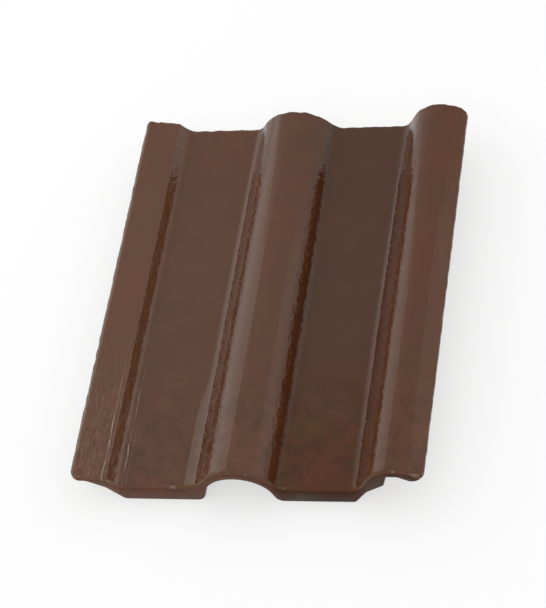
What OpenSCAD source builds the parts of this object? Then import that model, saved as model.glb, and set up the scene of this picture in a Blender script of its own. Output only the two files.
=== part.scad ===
// Interlocking concrete roof tile with two rolls and two flat pans.
// X runs across the tile, from the underlap on the left to the cover roll on the right.
// Y runs from the tail to the head, and Z is up. Heights are measured from the pans' upper face.
// The tile lies face up on its foot bar and its hanging nibs, as it rests on a level floor.

/* [Tile] */
// Length from tail to head
tile_length = 420; // [380:1:450]
// Width over both side laps
tile_width = 330; // [318:1:345]
// Thickness of the pans
pan_thickness = 12; // [10:0.5:15]
// Radius of the hollow where a roll meets a pan
foot_fillet = 13; // [8:0.5:16]
// Rounding of the corners along the lower face
sole_round = 6; // [3:0.5:8]

/* [Underlap] */
// Width of the raised strip on the left, which the next tile covers
underlap_width = 34; // [28:0.5:38]
// Height of the strip at its outer edge
underlap_rise = 17; // [15:0.5:19]
// Height of the strip where it turns down to the pan
underlap_inner_rise = 13.4; // [11:0.2:15]
// Thickness of the strip at its outer edge
underlap_edge = 7; // [6.8:0.2:10]
// Width of the wall that runs from the strip down to the pan
underlap_wall_run = 8.8; // [6:0.2:14]
// Radius of the hollow where that wall meets the pan
underlap_fillet = 11; // [6:0.5:14]
// Width of the level part of the strip's lower face
underlap_sole = 15; // [12:0.5:19]
// Slope of the lower face behind the sole, in degrees
underlap_splay = 34; // [30:0.5:38]
// Width of that slope, from the sole to the knee where it turns down to the pan
underlap_knee_run = 16; // [12:0.5:18]
// Slope of the lower face between the knee and the pan, in degrees
underlap_knee_splay = 53.5; // [48:0.5:60]
// Rounding of the strip's outer edge
underlap_nose = 3.2; // [2:0.1:3.2]
// Rounding where the strip turns down to the pan
underlap_shoulder = 4; // [2:0.5:6]

/* [Middle roll] */
// Distance of the crest from the tile's left edge
roll_x = 156; // [150:0.5:162]
// Height of the crest
roll_height = 26.5; // [22:0.5:30]
// Radius of the upper face
roll_radius = 40; // [36:0.5:44]
// Slope of the flanks, in degrees
roll_flank = 58; // [54:1:64]
// Thickness at the crest
roll_thickness = 10; // [9:0.5:14]
// Radius of the hollow under the roll
arch_radius = 32; // [28:0.5:36]
// Slope of the hollow's sides, in degrees
arch_flank = 75; // [70:1:78]
// Rounding where the hollow meets the pans' lower face
arch_fillet = 9; // [2:0.5:12]

/* [Cover roll] */
// Distance of the crest from the tile's right edge
cover_overhang = 26; // [22:0.5:29]
// Height of the crest
cover_height = 32; // [29:0.5:35]
// Radius of the upper face
cover_radius = 32; // [28:0.5:36]
// Slope of the inner flank, in degrees
cover_flank = 58; // [50:1:62]
// Slope of the outer edge, in degrees
cover_fall = 30; // [25:1:35]
// Thickness of the flange that covers the next tile
flange_thickness = 8; // [7:0.25:10]
// Width of the lap, from the groove's wall to the right edge
lap_width = 32.5; // [30:0.5:35]
// Width of the groove's level roof
groove_width = 9.5; // [7:0.5:12]
// Depth of the groove's wall
groove_depth = 11.5; // [8:0.5:12]
// How far the groove's wall leans back at its foot
groove_lean = 4.5; // [2:0.5:6]
// Width of the lip along the flange's edge
lip_width = 13; // [10:0.5:14]
// Depth of the lip below the groove's roof
lip_drop = 6.5; // [5:0.25:7]
// Slope of the lower face beside the groove, in degrees
cover_splay = 34; // [30:0.5:38]
// Width of that slope, from the groove's wall to the knee where it turns down to the pan
cover_knee_run = 22; // [18:0.5:24]
// Slope of the lower face between the knee and the pan, in degrees
cover_knee_splay = 54; // [48:0.5:60]
// Rounding of the cover roll's outer edge
cover_nose = 3; // [2:0.25:3.5]

/* [Ends] */
// Radius of the two corners at the tail, seen from above
tail_corner = 10; // [8:0.5:16]
// Rounding of the upper edge along the tail
tail_round = 4.5; // [2:0.25:6]
// Rounding of the cut edges round the head and along the lower face
cut_round = 1.2; // [0.5:0.1:2]
// Depth of the foot bar below the pans' lower face
foot_drop = 8; // [5:0.5:10]
// Length of the foot bar's sole, along the tile
foot_length = 13; // [8:0.5:20]
// Distance of the weather bar behind the tail
weather_bar_y = 46; // [36:1:70]
// Depth of the weather bar below the pans' lower face
weather_bar_drop = 4.5; // [3:0.5:5]
// Length of the weather bar's sole, along the tile
weather_bar_length = 5; // [3:0.5:8]
// Slope of the bars' sides, in degrees
bar_side = 55; // [45:1:70]

/* [Nibs] */
// Depth of a hanging nib below the pans' lower face
nib_drop = 16; // [12:0.5:20]
// Width of a nib at its root
nib_width = 42; // [30:1:50]
// Length of a nib at its root, along the tile
nib_length = 18; // [12:0.5:21]
// Distance of the nibs' hanging face from the head
nib_setback = 22; // [20:0.5:30]
// Taper of a nib's sides and back from root to sole
nib_taper = 4; // [2:0.5:6]
// Rounding of a nib's upright corners
nib_corner = 3; // [1:0.5:4]

/* [Hidden] */
$fn = 32;

// Longest turn, in degrees, between two points on a rounded corner
arc_step = 7.5;
// Slack that keeps the number of points on a corner the same in every ring
step_slack = 0.01;
// Points on the quarter turn of a rounded edge at the tail and at the head
tail_steps = 5;
head_steps = 3;
// Points added to each straight stretch that follows a corner at the tail
stretch_points = 3;
// Longest open side, in millimetres, of the first triangles that close an end
first_reach = 5;
// How far a nib's root is sunk into the pan that carries it
nib_root = 2;
// Share of a corner's radius, or of a side, that a rounding may take
edge_share = 0.85;
// Share of the strip's wall that the hollow at its foot may take
wall_share = 0.6;
// Doubled area, in square millimetres, below which a triangle counts as a line
hair = 0.000001;
tile_brown = [0.36, 0.25, 0.20];

cover_x = tile_width - cover_overhang;
cover_centre_z = cover_height - cover_radius;
arch_crest = roll_height - roll_thickness;
groove_roof = cover_height - flange_thickness;
groove_x = tile_width - lap_width;
knee_x = groove_x - cover_knee_run;
knee_z = groove_roof - groove_depth - cover_knee_run * tan(cover_splay);
lip_z = groove_roof - lip_drop;
underlap_sole_z = underlap_rise - underlap_edge;
underlap_knee_x = underlap_sole + underlap_knee_run;
underlap_knee_z = underlap_sole_z - underlap_knee_run * tan(underlap_splay);

// Where a line that touches a circle, and falls away from it at a slope, comes down to a level
function run_to(radius, centre_z, slope, level) =
  radius * sin(slope) + (centre_z + radius * cos(slope) - level) / tan(slope);

// The point where two such lines, one on each side of the crest, meet above a roll
function roll_apex(x, crest, radius, left_slope, right_slope) =
  let (
    centre_z = crest - radius,
    left_x = x - run_to(radius, centre_z, left_slope, 0),
    right_x = x + run_to(radius, centre_z, right_slope, 0),
    apex_x = (left_x * tan(left_slope) + right_x * tan(right_slope))
      / (tan(left_slope) + tan(right_slope))
  )
  [apex_x, (apex_x - left_x) * tan(left_slope)];

roll_run = run_to(roll_radius, roll_height - roll_radius, roll_flank, 0);
cover_run = run_to(cover_radius, cover_centre_z, cover_flank, 0);
roll_top = roll_apex(roll_x, roll_height, roll_radius, roll_flank, roll_flank);
cover_top = roll_apex(cover_x, cover_height, cover_radius, cover_flank, cover_fall);
cover_edge_z = cover_top.y - (tile_width - cover_top.x) * tan(cover_fall);
arch_top = roll_apex(roll_x, arch_crest, arch_radius, arch_flank, arch_flank);

// Height at which the hollow's sides turn straight, above which its fillets have to end
arch_spring = arch_crest - arch_radius * (1 - cos(arch_flank));

// The hollows beside the rolls and the strip, limited by the straight part of their flank or wall
function flank_room(crest, radius, slope) =
  edge_share * (crest - radius * (1 - cos(slope))) / (1 - cos(slope));
roll_foot = min(foot_fillet, flank_room(roll_height, roll_radius, roll_flank));
cover_foot = min(foot_fillet, flank_room(cover_height, cover_radius, cover_flank));
wall_slope = atan2(underlap_inner_rise, underlap_wall_run);
wall_length = norm([underlap_inner_rise, underlap_wall_run]);
wall_foot = min(underlap_fillet, wall_share * wall_length / tan(wall_slope / 2));

// Left and right ends of the two pans
pan_ends = [
  [underlap_width + underlap_wall_run, roll_x - roll_run],
  [roll_x + roll_run, cover_x - cover_run]
];

// A corner of the outline: place, radius, and how far the tail's rounding takes it inwards
function edge_inset(radius) = min(tail_round, radius * edge_share);
function upper(x, z, radius) = [x, z, radius, edge_inset(radius)];
function lower(x, z, radius) = [x, z, radius, min(cut_round, radius * edge_share)];

// Plain points, without a radius, on a straight stretch between two places, each with its inset
function stretch(a, b, inset_a, inset_b) =
  [
    for (i = [1:stretch_points])
      let (share = i / (stretch_points + 1), p = a + (b - a) * share)
      [p.x, p.y, 0, inset_a + (inset_b - inset_a) * share]
  ];

// The four stretches that follow the corners at the tail: over and under the strip and the cover roll
function strip_top(x) = [x, underlap_rise + (underlap_inner_rise - underlap_rise) * x / underlap_width];
function cover_side(x) = [x, cover_edge_z + (tile_width - x) * tan(cover_fall)];
strip_upper = stretch(
  strip_top(underlap_nose * 1.2), strip_top(tail_corner * 4 / 3),
  edge_inset(underlap_nose), edge_inset(underlap_shoulder)
);
strip_lower = stretch(
  [underlap_sole - sole_round * 0.4, underlap_sole_z], [underlap_nose * 1.05, underlap_sole_z],
  cut_round, cut_round
);
cover_upper = stretch(
  cover_side(cover_x + cover_radius * sin(cover_fall)), cover_side(tile_width - cover_nose * 0.6),
  edge_inset(cover_radius), edge_inset(cover_nose)
);
cover_lower = stretch(
  [tile_width - cover_nose * 0.6, lip_z], [tile_width - lip_width + cover_nose * 0.4, lip_z],
  cut_round, cut_round
);

// Corners of the cross-section, clockwise from the underlap's outer edge.
// The lower face of the pans lies at the given depth, and the slopes beside it run on down to it.
function corners(depth) =
  let (
    arch_run = run_to(arch_radius, arch_crest - arch_radius, arch_flank, -depth),
    arch_side = (arch_spring + depth) / sin(arch_flank),
    arch_round = min(arch_fillet, edge_share * arch_side / tan(arch_flank / 2))
  )
  concat(
    [upper(0, underlap_rise, underlap_nose)],
    strip_upper,
    [
      upper(underlap_width, underlap_inner_rise, underlap_shoulder),
      upper(pan_ends[0][0], 0, wall_foot),
      upper(pan_ends[0][1], 0, roll_foot),
      upper(roll_top.x, roll_top.y, roll_radius),
      upper(pan_ends[1][0], 0, roll_foot),
      upper(pan_ends[1][1], 0, cover_foot),
      upper(cover_top.x, cover_top.y, cover_radius)
    ],
    cover_upper,
    [
      upper(tile_width, cover_edge_z, cover_nose),
      lower(tile_width, lip_z, cover_nose / 2)
    ],
    cover_lower,
    [
      lower(tile_width - lip_width, lip_z, cover_nose),
      lower(groove_x + groove_width, groove_roof, cover_nose),
      lower(groove_x, groove_roof, cover_nose / 2),
      lower(
        groove_x - groove_lean, groove_roof - groove_depth - groove_lean * tan(cover_splay), cover_nose
      ),
      lower(knee_x, knee_z, sole_round),
      lower(knee_x - (knee_z + depth) / tan(cover_knee_splay), -depth, sole_round),
      lower(roll_x + arch_run, -depth, arch_round),
      lower(arch_top.x, arch_top.y, arch_radius),
      lower(roll_x - arch_run, -depth, arch_round),
      lower(
        underlap_knee_x + (underlap_knee_z + depth) / tan(underlap_knee_splay), -depth, sole_round
      ),
      lower(underlap_knee_x, underlap_knee_z, sole_round),
      lower(underlap_sole, underlap_sole_z, sole_round)
    ],
    strip_lower,
    [lower(0, underlap_sole_z, underlap_nose)]
  );

function unit(v) = v / norm(v);
function flat(lists) = [for (l = lists) for (p = l) p];

// One corner, rounded: the points of the arc that touches both of its sides, each with its inset
function rounded(before, corner, after) =
  corner[2] == 0
  ? [[corner.x, corner.y, corner[3]]]
  : let (
      at = [corner.x, corner.y],
      u = unit([before.x, before.y] - at),
      v = unit([after.x, after.y] - at),
      half = acos(u * v) / 2,
      centre = at + unit(u + v) * corner[2] / sin(half),
      first = at + u * corner[2] / tan(half) - centre,
      hand = sign(u.x * v.y - u.y * v.x),
      turn = hand * (180 - 2 * half),
      steps = ceil(abs(turn) / arc_step - step_slack)
    )
    [
      for (i = [0:steps])
        let (a = -turn * i / steps)
        [
          centre.x + first.x * cos(a) - first.y * sin(a),
          centre.y + first.x * sin(a) + first.y * cos(a),
          corner[3]
        ]
    ];

function outline(depth) =
  let (c = corners(depth), n = len(c))
  flat([for (i = [0:n - 1]) rounded(c[(i + n - 1) % n], c[i], c[(i + 1) % n])]);

// How far the corners at the tail draw a point back, which fades out further along the tile
corner_fade = tail_corner * 2;
function drawn_back(x, y) =
  let (inside = max(tail_corner - min(x, tile_width - x), 0))
  (tail_corner - sqrt(max(tail_corner * tail_corner - inside * inside, 0))) * max(1 - y / corner_fade, 0);

// A ring of points across the tile at y. share is how much of each point's inset is taken,
// and limit caps it, so that one outline serves the tail, the head and all between.
function ring(y, share, limit, depth) =
  let (o = outline(depth), n = len(o))
  [
    for (i = [0:n - 1])
      let (
        before = o[(i + n - 1) % n],
        after = o[(i + 1) % n],
        along = unit([after.x - before.x, after.y - before.y]),
        inset = share * min(o[i][2], limit),
        x = o[i].x + along.y * inset
      )
      [x, y + drawn_back(x, y), o[i].y - along.x * inset]
  ];

// Stations along the tile: place, share of the inset, its limit, and depth of the pans' lower face
foot_depth = pan_thickness + foot_drop;
weather_depth = pan_thickness + weather_bar_drop;
foot_run = foot_drop / tan(bar_side);
weather_run = weather_bar_drop / tan(bar_side);
weather_half = weather_bar_length / 2;
stations = concat(
  [
    for (i = [0:tail_steps])
      let (a = 90 * (1 - i / tail_steps))
      [tail_round * (1 - sin(a)), 1 - cos(a), tail_round, foot_depth]
  ],
  [
    [foot_length, 0, 0, foot_depth],
    [foot_length + foot_run, 0, 0, pan_thickness],
    [weather_bar_y - weather_half - weather_run, 0, 0, pan_thickness],
    [weather_bar_y - weather_half, 0, 0, weather_depth],
    [weather_bar_y + weather_half, 0, 0, weather_depth],
    [weather_bar_y + weather_half + weather_run, 0, 0, pan_thickness]
  ],
  [
    for (i = [0:head_steps])
      let (a = 90 * i / head_steps)
      [tile_length - cut_round * (1 - sin(a)), 1 - cos(a), cut_round, pan_thickness]
  ]
);

rings = [for (s = stations) ring(s[0], s[1], s[2], s[3])];
ring_size = len(rings[0]);
ring_count = len(rings);
shell_points = flat(rings);

// Cuts an outline into triangles by taking off one corner, or ear, at a time, small ones first.
// The ends of the tile need this, because a face that has hollows can't be given whole.
function turn_of(a, b, c) = (b.x - a.x) * (c.z - a.z) - (b.z - a.z) * (c.x - a.x);
function covers(a, b, c, p) =
  max(turn_of(a, b, p), turn_of(b, c, p)) < -hair && turn_of(c, a, p) < hair;
function around(left, k) = [for (step = [-1:1]) left[(k + step + len(left)) % len(left)]];
function is_ear(points, ear, left, reach) =
  let (a = points[ear[0]], b = points[ear[1]], c = points[ear[2]])
  norm(c - a) < reach && turn_of(a, b, c) < -hair
  && len([for (i = left) if (len(search(i, ear)) == 0 && covers(a, b, c, points[i])) i]) == 0;
function next_ear(points, left, k, reach) =
  k == len(left) || is_ear(points, around(left, k), left, reach)
  ? k
  : next_ear(points, left, k + 1, reach);
function ears(points, left, cut, reach) =
  len(left) < 3 || reach > 4 * tile_width
  ? cut
  : let (k = next_ear(points, left, 0, reach))
    k == len(left)
    ? ears(points, left, cut, reach * 2)
    : ears(
        points,
        [for (i = [0:len(left) - 1]) if (i != k) left[i]],
        concat(cut, [around(left, k)]),
        reach
      );

// Two triangles for each stretch between two rings, and the triangles that close each end
function ring_index(r, i) = r * ring_size + i % ring_size;
every_point = [for (i = [0:ring_size - 1]) i];
tail_ears = ears(rings[0], every_point, [], first_reach);
head_ears = ears(rings[ring_count - 1], every_point, [], first_reach);
shell_faces = concat(
  tail_ears,
  [
    for (r = [0:ring_count - 2])
      for (i = every_point)
        for (half = [0:1])
          half == 0
          ? [ring_index(r, i), ring_index(r + 1, i), ring_index(r + 1, i + 1)]
          : [ring_index(r, i), ring_index(r + 1, i + 1), ring_index(r, i + 1)]
  ],
  [for (e = head_ears) [for (k = [2:-1:0]) ring_index(ring_count - 1, e[k])]]
);

// The tile rests on the foot bar's front edge and the nibs' front edges, so its head is a little raised
nib_face_y = tile_length - nib_setback;
nib_sole_z = -pan_thickness - nib_drop;
rest_tilt = atan2(nib_drop - foot_drop, nib_face_y - tail_round);
rest_lift = foot_depth * cos(rest_tilt) - tail_round * sin(rest_tilt);
tilted_y = [for (p = shell_points) p.y * cos(rest_tilt) - p.z * sin(rest_tilt)];
middle_y = (min(tilted_y) + max(tilted_y)) / 2;

// A hanging nib under a pan: upright towards the tail, tapered on its other sides
module nib(x) {
  translate([x, nib_face_y, 0])
    hull()
      for (level = [[nib_sole_z, nib_taper], [-pan_thickness, 0]])
        for (side = [-1, 1])
          for (y = [nib_corner, nib_length - level[1] - nib_corner])
            translate([side * (nib_width / 2 - level[1] - nib_corner), y, level[0]])
              cylinder(r = nib_corner, h = nib_root);
}

module roof_tile() {
  color(tile_brown)
    translate([-tile_width / 2, -middle_y, rest_lift])
      rotate([rest_tilt, 0, 0])
        union() {
          polyhedron(points = shell_points, faces = shell_faces, convexity = 6);
          for (ends = pan_ends)
            nib((ends[0] + ends[1]) / 2);
        }
}

roof_tile();
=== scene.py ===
# Concrete roof tile with two rolls and a glossy brown coat, lying face up on a white floor.

from math import radians

import bmesh
import bpy
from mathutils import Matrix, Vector, noise
from mathutils.bvhtree import BVHTree


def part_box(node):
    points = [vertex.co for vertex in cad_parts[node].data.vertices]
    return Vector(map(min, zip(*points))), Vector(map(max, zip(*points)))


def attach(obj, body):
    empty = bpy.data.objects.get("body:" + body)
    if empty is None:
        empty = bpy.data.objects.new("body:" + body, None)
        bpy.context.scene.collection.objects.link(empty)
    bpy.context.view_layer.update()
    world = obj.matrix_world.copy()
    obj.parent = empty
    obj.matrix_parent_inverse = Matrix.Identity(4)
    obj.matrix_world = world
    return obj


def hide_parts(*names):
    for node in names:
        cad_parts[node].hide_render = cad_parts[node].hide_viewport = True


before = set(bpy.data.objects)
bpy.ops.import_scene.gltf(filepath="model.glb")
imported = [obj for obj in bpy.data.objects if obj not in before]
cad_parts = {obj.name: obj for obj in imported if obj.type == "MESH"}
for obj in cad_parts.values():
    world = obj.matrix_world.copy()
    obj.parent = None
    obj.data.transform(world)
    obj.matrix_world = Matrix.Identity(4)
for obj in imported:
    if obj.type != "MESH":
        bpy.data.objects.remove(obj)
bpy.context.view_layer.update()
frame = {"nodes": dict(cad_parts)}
print("frame loaded:", ", ".join(frame["nodes"]))

colourA, colourB = 6, 7  # colour sockets of a mix node


def toLinear(hexColour):  # sRGB hex to the linear colour that the shaders want
    channels = [int(hexColour[i:i + 2], 16) / 255 for i in (1, 3, 5)]
    return [c / 12.92 if c <= 0.04045 else ((c + 0.055) / 1.055) ** 2.4 for c in channels] + [1.0]


def perMetre(millimetres):  # noise scale that gives features of this size
    return 1000 / millimetres


def addNode(tree, kind, inputs=None, **settings):  # a node or socket in inputs is linked, else set
    node = tree.nodes.new(kind)
    for name, value in settings.items():
        setattr(node, name, value)
    for name, value in (inputs or {}).items():
        if isinstance(value, bpy.types.Node):
            value = next(socket for socket in value.outputs if socket.enabled)
        if isinstance(value, bpy.types.NodeSocket):
            tree.links.new(value, node.inputs[name])
        else:
            node.inputs[name].default_value = value
    return node


def newMaterial(name):
    material = bpy.data.materials.new(name)
    material.use_nodes = True
    material.node_tree.nodes.clear()
    return material, material.node_tree


def fadeBetween(value, start, end):  # 0 at start, 1 at end, eased
    share = min(max((value - start) / (end - start), 0.0), 1.0)
    return share * share * (3 - 2 * share)


# acrylic coat sprayed on pressed concrete: a deep brown under a clear gloss that mirrors the room,
# so flat faces look greyer, and the hollows beside the rolls, which mirror the tile, look dark
coat = {
    "brown": "#4e2c17",
    "redBrown": "#522b18",
    "oliveBrown": "#4f3712",
    "rust": "#542d19",
    "wallBrown": "#4b2d1e",
    "dust": "#836e61",
    "paleGlint": "#a8927c",  # painted highlight: pale specks on the tail's nose and pale lines on the strip's wall, standing in for glints of light
    "warmWhite": "#fffbec",  # tint of the gloss
    "ior": 1.47,
    "gloss": (0.08, 0.16),  # roughness where the coat is thick and where it is thin
    "cutRough": 0.35,  # added on the cut face of the tail
    "shine": 0.5,  # level of the gloss
    "dropDepthMm": 0.6,  # of the runs on steep faces
    "evenShare": 0.15,  # how much of that depth is left on flat faces
    "gritDepthMm": 0.03,
    "grains": {  # width and length in mm, detail and roughness of each noise
        "mottle": (70, 70, 3.0, 0.55),
        "patch": (26, 26, 4.0, 0.6),
        "scuff": (13, 13, 5.0, 0.65),
        "streak": (1.9, 11, 3.0, 0.6),
        "drop": (4.2, 6.0, 1.5, 0.5),  # waves and runs that the spray leaves
        "grit": (1.6, 1.6, 2.0, 0.6),  # sand under the coat, drawn coarser so that it shows
    },
    "ramps": {  # what is read, where the ramp begins, where it is full, and how much that is
        "reddish": ("mottle", 0.36, 0.68, 1.0),
        "thin": ("mottle", 0.3, 0.6, 1.0),
        "olive": ("patch", 0.5, 0.66, 0.8),
        "rusty": ("patch", 0.5, 0.36, 0.9),
        "scuffed": ("scuff", 0.36, 0.66, 1.0),
        "speck": ("scuff", 0.55, 0.66, 0.35),
        "broken": ("scuff", 0.4, 0.64, 0.7),
        "cloudy": ("patch", 0.34, 0.66, 1.0),
        "dusty": ("streak", 0.4, 0.76, 0.27),
        "tail": ("along", -0.03, -0.17, 1.0),
        "head": ("along", 0.04, 0.17, 1.0),
        "right": ("across", 0.014, 0.034, 1.0),
        "beforeCover": ("across", 0.110, 0.094, 1.0),
        "strip": ("across", -0.119, -0.124, 1.0),
        "cut": ("facingHead", -0.7, -0.95, 1.0),
        "uncut": ("facingHead", -0.95, -0.7, 1.0),
        "rounded": ("facingHead", -0.2, -0.4, 1.0),
        "upward": ("facingUp", 0.5, 0.7, 1.0),
        "steep": ("sideways", 0.36, 0.7, 1.0),
    },
    "zones": {  # each is the product of two that stand before it
        "pan": ("right", "beforeCover"),
        "panTail": ("pan", "tail"),
        "panOlive": ("panTail", "olive"),
        "panRust": ("panTail", "rusty"),
        "panThin": ("panTail", "thin"),
        "panWall": ("pan", "steep"),
        "stripTail": ("strip", "tail"),
        "stripDust": ("stripTail", "dusty"),
        "stripWall": ("strip", "steep"),
        "tailScuff": ("tail", "scuffed"),
        "cutRight": ("cut", "right"),
        "nose": ("rounded", "uncut"),
        # where the painted glints sit on the tail's nose
        "noseGlint": ("nose", "speck"),
        # where the painted highlight lines sit, near the tail and on faces that look up
        "lineTail": ("tail", "broken"),
        "lineTop": ("lineTail", "upward"),
    },
    "layers": {  # colour that covers each zone
        "reddish": "redBrown",
        "panOlive": "oliveBrown",
        "panRust": "rust",
        # painted light: the strip's wall takes its own brown, made lighter by its tone below
        "stripWall": "wallBrown",
        "stripDust": "dust",
    },
    "tones": {  # the base colour is multiplied by this
        "cloudy": 1.1,
        "pan": 0.74,  # painted shade: the right pan, deep between the two rolls, is darker
        "panTail": 1.16,
        # painted shade: the steep feet of the rolls beside the right pan are darker
        "panWall": 0.76,
        # painted light: the raised strip is lighter
        "strip": 1.12,
        # painted light: the strip's wall, which faces right, is lighter
        "stripWall": 1.27,
        # painted shade: the right half of the tail's cut face is darker
        "cutRight": 0.6,
        "tail": 1.14,
        "tailScuff": 0.74,
    },
    "shines": {  # and the gloss by this
        "strip": 1.12,
        "right": 0.8,
        "cut": 0.52,
        "panThin": 0.62,
        "head": 0.9,
        "tail": 1.07,
        "tailScuff": 0.86,
    },
    "glintLines": (-0.1334, -0.1186),  # painted highlights: two pale lines along the strip's wall, at its shoulder and at its foot
    "lineHalf": 0.0005,  # half the width of a line
    "lineWander": 0.006,  # how far it strays across
}


def makeCoatedConcrete():
    material, tree = newMaterial("acrylicCoatedConcrete")
    place = addNode(tree, "ShaderNodeTexCoord").outputs["Object"]
    axes = addNode(tree, "ShaderNodeSeparateXYZ", {"Vector": place}).outputs
    normal = addNode(tree, "ShaderNodeNewGeometry").outputs["Normal"]
    facing = addNode(tree, "ShaderNodeSeparateXYZ", {"Vector": normal}).outputs
    read = {
        "across": axes["X"], "along": axes["Y"], "facingHead": facing["Y"], "facingUp": facing["Z"],
        "sideways": addNode(tree, "ShaderNodeMath", {0: facing["X"]}, operation="ABSOLUTE")}
    for name, (width, length, detail, rough) in coat["grains"].items():
        scaled = addNode(tree, "ShaderNodeMapping", {
            "Vector": place, "Scale": [perMetre(size) for size in (width, length, width)]})
        read[name] = addNode(tree, "ShaderNodeTexNoise", {  # the mapping carries its scale
            "Vector": scaled, "Scale": 1.0, "Detail": detail, "Roughness": rough})
    zone = {}
    for name, (source, start, full, most) in coat["ramps"].items():
        zone[name] = addNode(tree, "ShaderNodeMapRange", {
            "Value": read[source], "From Min": start, "From Max": full, "To Max": most},
            interpolation_type="SMOOTHSTEP")
    for name, (one, other) in coat["zones"].items():
        zone[name] = addNode(tree, "ShaderNodeMath", {
            0: zone[one], 1: zone[other]}, operation="MULTIPLY")

    level = {"tones": 1.0, "shines": coat["shine"]}
    for kind in level:
        for name, factor in coat[kind].items():
            step = addNode(tree, "ShaderNodeMapRange", {
                "Value": zone[name], "To Min": 1.0, "To Max": factor})
            level[kind] = addNode(tree, "ShaderNodeMath", {
                0: level[kind], 1: step}, operation="MULTIPLY")
    colour = toLinear(coat["brown"])
    for name, shade in coat["layers"].items():
        colour = addNode(tree, "ShaderNodeMix", {
            "Factor": zone[name], colourA: colour, colourB: toLinear(coat[shade])},
            data_type="RGBA")
    colour = addNode(tree, "ShaderNodeVectorMath", {
        0: colour, "Scale": level["tones"]}, operation="SCALE")

    # painted glints: pale specks on the tail's nose and, below, pale lines on the strip's wall
    # stand in for highlights
    glints = zone["noseGlint"]
    wander = addNode(tree, "ShaderNodeMath", {
        0: read["patch"], 1: coat["lineWander"], 2: axes["X"]}, operation="MULTIPLY_ADD")
    for across in coat["glintLines"]:
        middle = across + coat["lineWander"] / 2
        line = addNode(tree, "ShaderNodeMath", {
            0: wander, 1: middle, 2: coat["lineHalf"]}, operation="COMPARE")
        line = addNode(tree, "ShaderNodeMath", {0: line, 1: zone["lineTop"]}, operation="MULTIPLY")
        glints = addNode(tree, "ShaderNodeMath", {0: glints, 1: line}, operation="MAXIMUM")
    colour = addNode(tree, "ShaderNodeMix", {
        "Factor": glints, colourA: colour, colourB: toLinear(coat["paleGlint"])}, data_type="RGBA")

    thick, thin = coat["gloss"]
    rough = addNode(tree, "ShaderNodeMapRange", {
        "Value": zone["thin"], "To Min": thick, "To Max": thin})
    rough = addNode(tree, "ShaderNodeMath", {
        0: zone["cut"], 1: coat["cutRough"], 2: rough}, operation="MULTIPLY_ADD")
    runs = addNode(tree, "ShaderNodeMapRange", {
        "Value": zone["steep"], "To Min": coat["evenShare"]})
    bump = addNode(tree, "ShaderNodeBump", {
        "Height": read["drop"], "Strength": runs, "Distance": coat["dropDepthMm"] / 1000})
    bump = addNode(tree, "ShaderNodeBump", {
        "Height": read["grit"], "Distance": coat["gritDepthMm"] / 1000, "Normal": bump})
    surface = addNode(tree, "ShaderNodeBsdfPrincipled", {
        "Base Color": colour, "Roughness": rough, "IOR": coat["ior"], "Normal": bump,
        "Specular IOR Level": level["shines"], "Specular Tint": toLinear(coat["warmWhite"])})
    addNode(tree, "ShaderNodeOutputMaterial", {"Surface": surface})
    return material


# through-coloured concrete as it left the mould: a dull grey brown, sandy to the eye, no gloss
bare = {
    "colour": "#6d594b",
    "paleSand": "#83705f",
    "sandMm": 1.8,
    "sandDepthMm": 0.3,
    "sandRough": 0.65,  # share of the finer grains in the sand
    "cloudMm": 40,
    "detail": 3.0,  # of the sand and the clouds
    "paleFrom": (0.15, 0.38),  # where the pale sand begins to show, and where it is full
    "roughness": 0.9,
}


def makeBareConcrete():
    material, tree = newMaterial("bareConcrete")
    place = addNode(tree, "ShaderNodeTexCoord").outputs["Object"]
    sand = addNode(tree, "ShaderNodeTexNoise", {
        "Vector": place, "Scale": perMetre(bare["sandMm"]), "Detail": bare["detail"],
        "Roughness": bare["sandRough"]})
    cloud = addNode(tree, "ShaderNodeTexNoise", {
        "Vector": place, "Scale": perMetre(bare["cloudMm"]), "Detail": bare["detail"]})
    mixed = addNode(tree, "ShaderNodeMath", {0: sand, 1: cloud}, operation="MULTIPLY")
    start, full = bare["paleFrom"]
    share = addNode(tree, "ShaderNodeMapRange", {
        "Value": mixed, "From Min": start, "From Max": full})
    colour = addNode(tree, "ShaderNodeMix", {
        "Factor": share, colourA: toLinear(bare["colour"]), colourB: toLinear(bare["paleSand"])},
        data_type="RGBA")
    bump = addNode(tree, "ShaderNodeBump", {"Height": sand, "Distance": bare["sandDepthMm"] / 1000})
    surface = addNode(tree, "ShaderNodeBsdfPrincipled", {
        "Base Color": colour, "Roughness": bare["roughness"], "Normal": bump})
    addNode(tree, "ShaderNodeOutputMaterial", {"Surface": surface})
    return material


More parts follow.
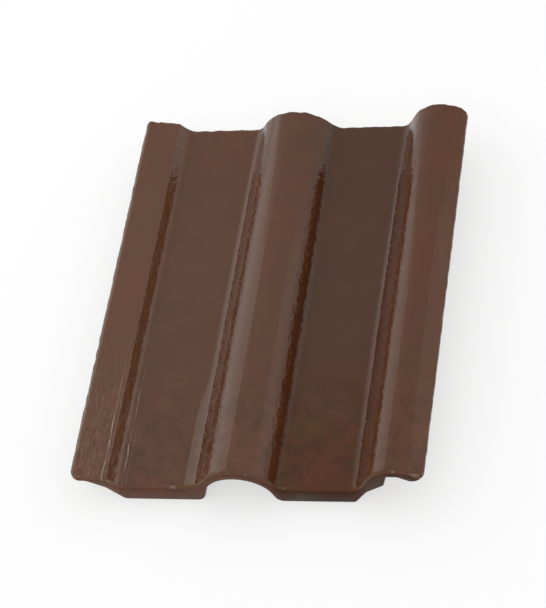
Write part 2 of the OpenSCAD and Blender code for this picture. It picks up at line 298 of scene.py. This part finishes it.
# the tile: the solid's own faces, cut into a fine net so that they can wander as cast faces do;
# sizes are in metres, or in millimetres where the name says so
tile = {
    "cutStep": 0.003,  # spacing of the net
    "mergeWithin": 1e-6,  # corners closer than this are one
    "cutWithin": 1e-7,  # corners closer than this to a cut lie on it
    "flatAngle": 0.3,  # facets closer than this, in degrees, are joined before the net is cut
    "sharpAngle": 38,  # edges that turn by more than this, in degrees, stay sharp
    "wanderMm": (0.2, 45),  # depth and width of the slow waves in the faces
    "edgeMm": (0.45, 9),  # depth and width of the ragged side edges
    "edgeApart": 20,  # parts the two side edges in the noise, so that they aren't alike
    "headMm": (1.2, 8),  # depth and width of the ragged cut along the head
    "headLoss": 0.3,  # the knife takes off more than it leaves
    "chips": (1.0, 2.0, 3),  # fall, step and number of octaves in the ragged edges
    "edgeReach": 0.008,  # how far in from an edge the raggedness goes
    "headCorner": 0.010,  # the cover roll's corner at the head is broken off round
    "burr": {"place": (-0.1595, 0.2085), "radius": 0.006, "lift": 0.0016},  # left by the knife
    "upper": 0.2,  # faces that look up more than this carry beads and runs of coat
    "bareBelow": -0.35,  # faces that look down more than this were never sprayed
    "bareHead": 0.7,  # nor was the cut along the head, nor a steep face with concrete above it
    "clear": 0.0005,  # how far off a steep face the look upward starts
    "beadsMm": (  # runs of coat on the strip and the pans: place across, height, half width, length
        (31.6, 0.45, 1.1, 175),
        (35.0, 0.25, 0.9, 150),
        (46.4, 0.45, 1.0, 125),
        (49.2, -0.25, 1.2, 110),
        (105.4, -0.3, 1.3, 105),
    ),
    "beadCuts": (-1, -0.5, 0, 0.5, 1),  # extra cuts along a bead, in half widths from its middle
    "beadFull": 0.45,  # share of its length over which a bead keeps its height
    "beadLumpMm": 7,  # length of the lumps in a bead
    "beadLump": (0.7, 0.6),  # mean and swing of its height there
    "swellMm": {  # fuller coat at the middle roll's foot, from the left edge and from the tail
        "begin": (105.0, 114.5), "end": (118.0, 128.0), "fade": (56.0, 140.0), "rise": 1.7},
    "rimMm": {"width": 5.5, "fall": 1.4, "cuts": (0.7, 1.4, 2.1, 4.5)},  # the strip's edge is round
}


def moveOf(spot, out, low, high):  # how far a corner of the net moves
    depth, width = tile["wanderMm"]
    move = out * (noise.noise(spot * perMetre(width)) * depth / 1000)

    depth, width = tile["edgeMm"]
    nearSide = max(fadeBetween(spot.x, high.x - tile["edgeReach"], high.x),
                   fadeBetween(-spot.x, -low.x - tile["edgeReach"], -low.x))
    place = Vector((spot.x * tile["edgeApart"], spot.y, 0.0)) * perMetre(width)
    move.x += nearSide * noise.fractal(place, *tile["chips"]) * depth / 1000

    depth, width = tile["headMm"]
    nearHead = fadeBetween(spot.y, high.y - tile["edgeReach"], high.y)
    place = Vector((spot.x, 0, 0)) * perMetre(width)
    move.y += nearHead * (noise.fractal(place, *tile["chips"]) - tile["headLoss"]) * depth / 1000
    corner = tile["headCorner"]
    cornerOff = min(max(corner - (high.x - spot.x), 0.0), corner)
    headEnd = high.y - corner + (corner ** 2 - cornerOff ** 2) ** 0.5
    move.y = min(move.y, headEnd - spot.y)

    if out.z > tile["upper"]:
        burr, rim, swell = tile["burr"], tile["rimMm"], tile["swellMm"]
        fromBurr = (Vector((spot.x, spot.y)) - Vector(burr["place"])).length
        move.z += burr["lift"] * (1 - fadeBetween(fromBurr, 0, burr["radius"]))
        across, along = (spot.x - low.x) * 1000, (spot.y - low.y) * 1000
        for middle, rise, halfWidth, length in tile["beadsMm"]:
            off = abs(across - middle) / halfWidth
            if off < 1:
                fade = 1 - fadeBetween(along, length * tile["beadFull"], length)
                mean, swing = tile["beadLump"]
                lumps = mean + swing * noise.noise(Vector((middle, along / tile["beadLumpMm"], 0)))
                move += out * (rise / 1000 * fade * lumps * (1 - off))
        move.z -= rim["fall"] / 1000 * max(1 - across / rim["width"], 0.0) ** 2
        full = fadeBetween(across, *swell["begin"]) * (1 - fadeBetween(across, *swell["end"]))
        move.z += swell["rise"] / 1000 * full * (1 - fadeBetween(along, *swell["fade"]))
    move.z = max(move.z, low.z - spot.z)  # the foot and the nibs stand on the floor
    return move


def makeTile(coated, raw):
    low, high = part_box("roof_tile")
    shell = bmesh.new()
    shell.from_mesh(frame["nodes"]["roof_tile"].data)
    bmesh.ops.remove_doubles(shell, verts=shell.verts, dist=tile["mergeWithin"])
    bmesh.ops.dissolve_limit(
        shell, angle_limit=radians(tile["flatAngle"]), verts=shell.verts, edges=shell.edges)
    cuts = [[low[axis] + step * tile["cutStep"]
             for step in range(1, int((high[axis] - low[axis]) / tile["cutStep"]))]
            for axis in (0, 1)]
    cuts[0] += [low.x + (middle + share * halfWidth) / 1000
                for middle, rise, halfWidth, length in tile["beadsMm"]
                for share in tile["beadCuts"]]
    cuts[0] += [low.x + across / 1000 for across in tile["rimMm"]["cuts"]]
    for axis in (1, 0):
        facing = Vector((0, 0, 0))
        facing[axis] = 1
        for cut in cuts[axis]:
            bmesh.ops.bisect_plane(
                shell, geom=shell.verts[:] + shell.edges[:] + shell.faces[:],
                dist=tile["cutWithin"], plane_co=facing * cut, plane_no=facing)
    shell.normal_update()
    moves = [moveOf(vert.co, vert.normal, low, high) for vert in shell.verts]
    for vert, move in zip(shell.verts, moves):
        vert.co += move
    shell.normal_update()
    shellTree = BVHTree.FromBMesh(shell)
    upward = Vector((0, 0, 1))
    for face in shell.faces:
        face.smooth = True
        unsprayed = face.normal.z < tile["bareBelow"] or face.normal.y > tile["bareHead"]
        if face.normal.z < tile["upper"] and not unsprayed:
            start = face.calc_center_median() + face.normal * tile["clear"]
            unsprayed = shellTree.ray_cast(start, upward)[0] is not None
        face.material_index = 1 if unsprayed else 0
    for edge in shell.edges:
        edge.smooth = not edge.is_manifold or edge.calc_face_angle() < radians(tile["sharpAngle"])
    mesh = bpy.data.meshes.new("tileBody")
    shell.to_mesh(mesh)
    shell.free()
    mesh.materials.append(coated)
    mesh.materials.append(raw)
    body = bpy.data.objects.new("tileBody", mesh)
    bpy.context.scene.collection.objects.link(body)
    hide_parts("roof_tile")
    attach(body, "root")
    mesh.calc_loop_triangles()
    print("tile made:", len(mesh.polygons), "faces,", len(mesh.loop_triangles), "triangles")


# white paper under the tile, a white room round it and two soft boxes behind it, left and right
stage = {
    "floorSize": 8.0,
    "paper": "#fbfbfb",
    "paperRough": 0.95,
    "paperGlow": 0.6,  # how far the paper is seen as plain white; the rest shows the shadow
    "roomWhite": "#ffffff",
    "skyLevel": 0.93,  # light that the room gives; the camera and the gloss see it as white
    "softBoxes": {
        "leftBox": {
            "place": (-0.85, 0.30, 0.64), "aim": (0, 0, 0.64), "size": (1.05, 0.92), "watts": 2.08},
        "rightBox": {
            "place": (0.62, 0.22, 0.45), "aim": (0, 0, 0), "size": (0.60, 0.36), "watts": 0.22},
    },
}


def seenRays(tree):  # 1 for rays from the camera and those that a gloss or a glass sends on
    path = addNode(tree, "ShaderNodeLightPath").outputs
    seen = addNode(tree, "ShaderNodeMath", {
        0: path["Is Camera Ray"], 1: path["Is Glossy Ray"]}, operation="MAXIMUM")
    return addNode(tree, "ShaderNodeMath", {
        0: seen, 1: path["Is Transmission Ray"]}, operation="MAXIMUM")


def makeStage():
    sheet = bmesh.new()
    bmesh.ops.create_grid(sheet, x_segments=1, y_segments=1, size=stage["floorSize"] / 2)
    mesh = bpy.data.meshes.new("paperFloor")
    sheet.to_mesh(mesh)
    sheet.free()
    material, tree = newMaterial("whitePaper")
    paper = addNode(tree, "ShaderNodeBsdfPrincipled", {
        "Base Color": toLinear(stage["paper"]), "Roughness": stage["paperRough"],
        "Specular IOR Level": 0.0})
    glow = addNode(tree, "ShaderNodeEmission", {
        "Color": toLinear(stage["roomWhite"]), "Strength": 1.0})
    share = addNode(tree, "ShaderNodeMath", {
        0: seenRays(tree), 1: stage["paperGlow"]}, operation="MULTIPLY")
    mixed = addNode(tree, "ShaderNodeMixShader", {0: share, 1: paper, 2: glow})
    addNode(tree, "ShaderNodeOutputMaterial", {"Surface": mixed})
    mesh.materials.append(material)
    floor = bpy.data.objects.new("paperFloor", mesh)
    bpy.context.scene.collection.objects.link(floor)

    world = bpy.data.worlds.new("whiteRoom")
    world.use_nodes = True
    tree = world.node_tree
    tree.nodes.clear()
    bpy.context.scene.world = world
    level = addNode(tree, "ShaderNodeMapRange", {
        "Value": seenRays(tree), "To Min": stage["skyLevel"], "To Max": 1.0})
    sky = addNode(tree, "ShaderNodeBackground", {
        "Color": toLinear(stage["roomWhite"]), "Strength": level})
    addNode(tree, "ShaderNodeOutputWorld", {"Surface": sky})

    for name, box in stage["softBoxes"].items():
        light = bpy.data.lights.new(name, "AREA")
        light.shape = "RECTANGLE"
        light.size, light.size_y = box["size"]
        light.energy = box["watts"]
        lamp = bpy.data.objects.new(name, light)
        lamp.location = box["place"]
        away = Vector(box["place"]) - Vector(box["aim"])
        lamp.rotation_euler = away.to_track_quat("Z", "Y").to_euler()
        lamp.visible_camera = False
        bpy.context.scene.collection.objects.link(lamp)
    print("stage made")


# a long lens from the tail's right, rolled a little, as the photograph was taken
camera = {
    "place": (0.5487, -1.2597, 1.7238),
    "turn": (37.279, 11.982, 8.567),  # in degrees
    "lens": 136.2,  # in mm, as the sensor
    "sensor": 36,
}


def makeCamera():
    lens = bpy.data.cameras.new("camera")
    lens.lens = camera["lens"]
    lens.sensor_width = camera["sensor"]
    eye = bpy.data.objects.new("camera", lens)
    eye.location = camera["place"]
    eye.rotation_euler = [radians(angle) for angle in camera["turn"]]
    bpy.context.scene.collection.objects.link(eye)
    bpy.context.scene.camera = eye
    print("camera set")


bpy.context.scene.view_settings.view_transform = "Standard"
makeCamera()
makeStage()
coated, raw = makeCoatedConcrete(), makeBareConcrete()
print("materials made:", ", ".join((coated.name, raw.name)))
makeTile(coated, raw)
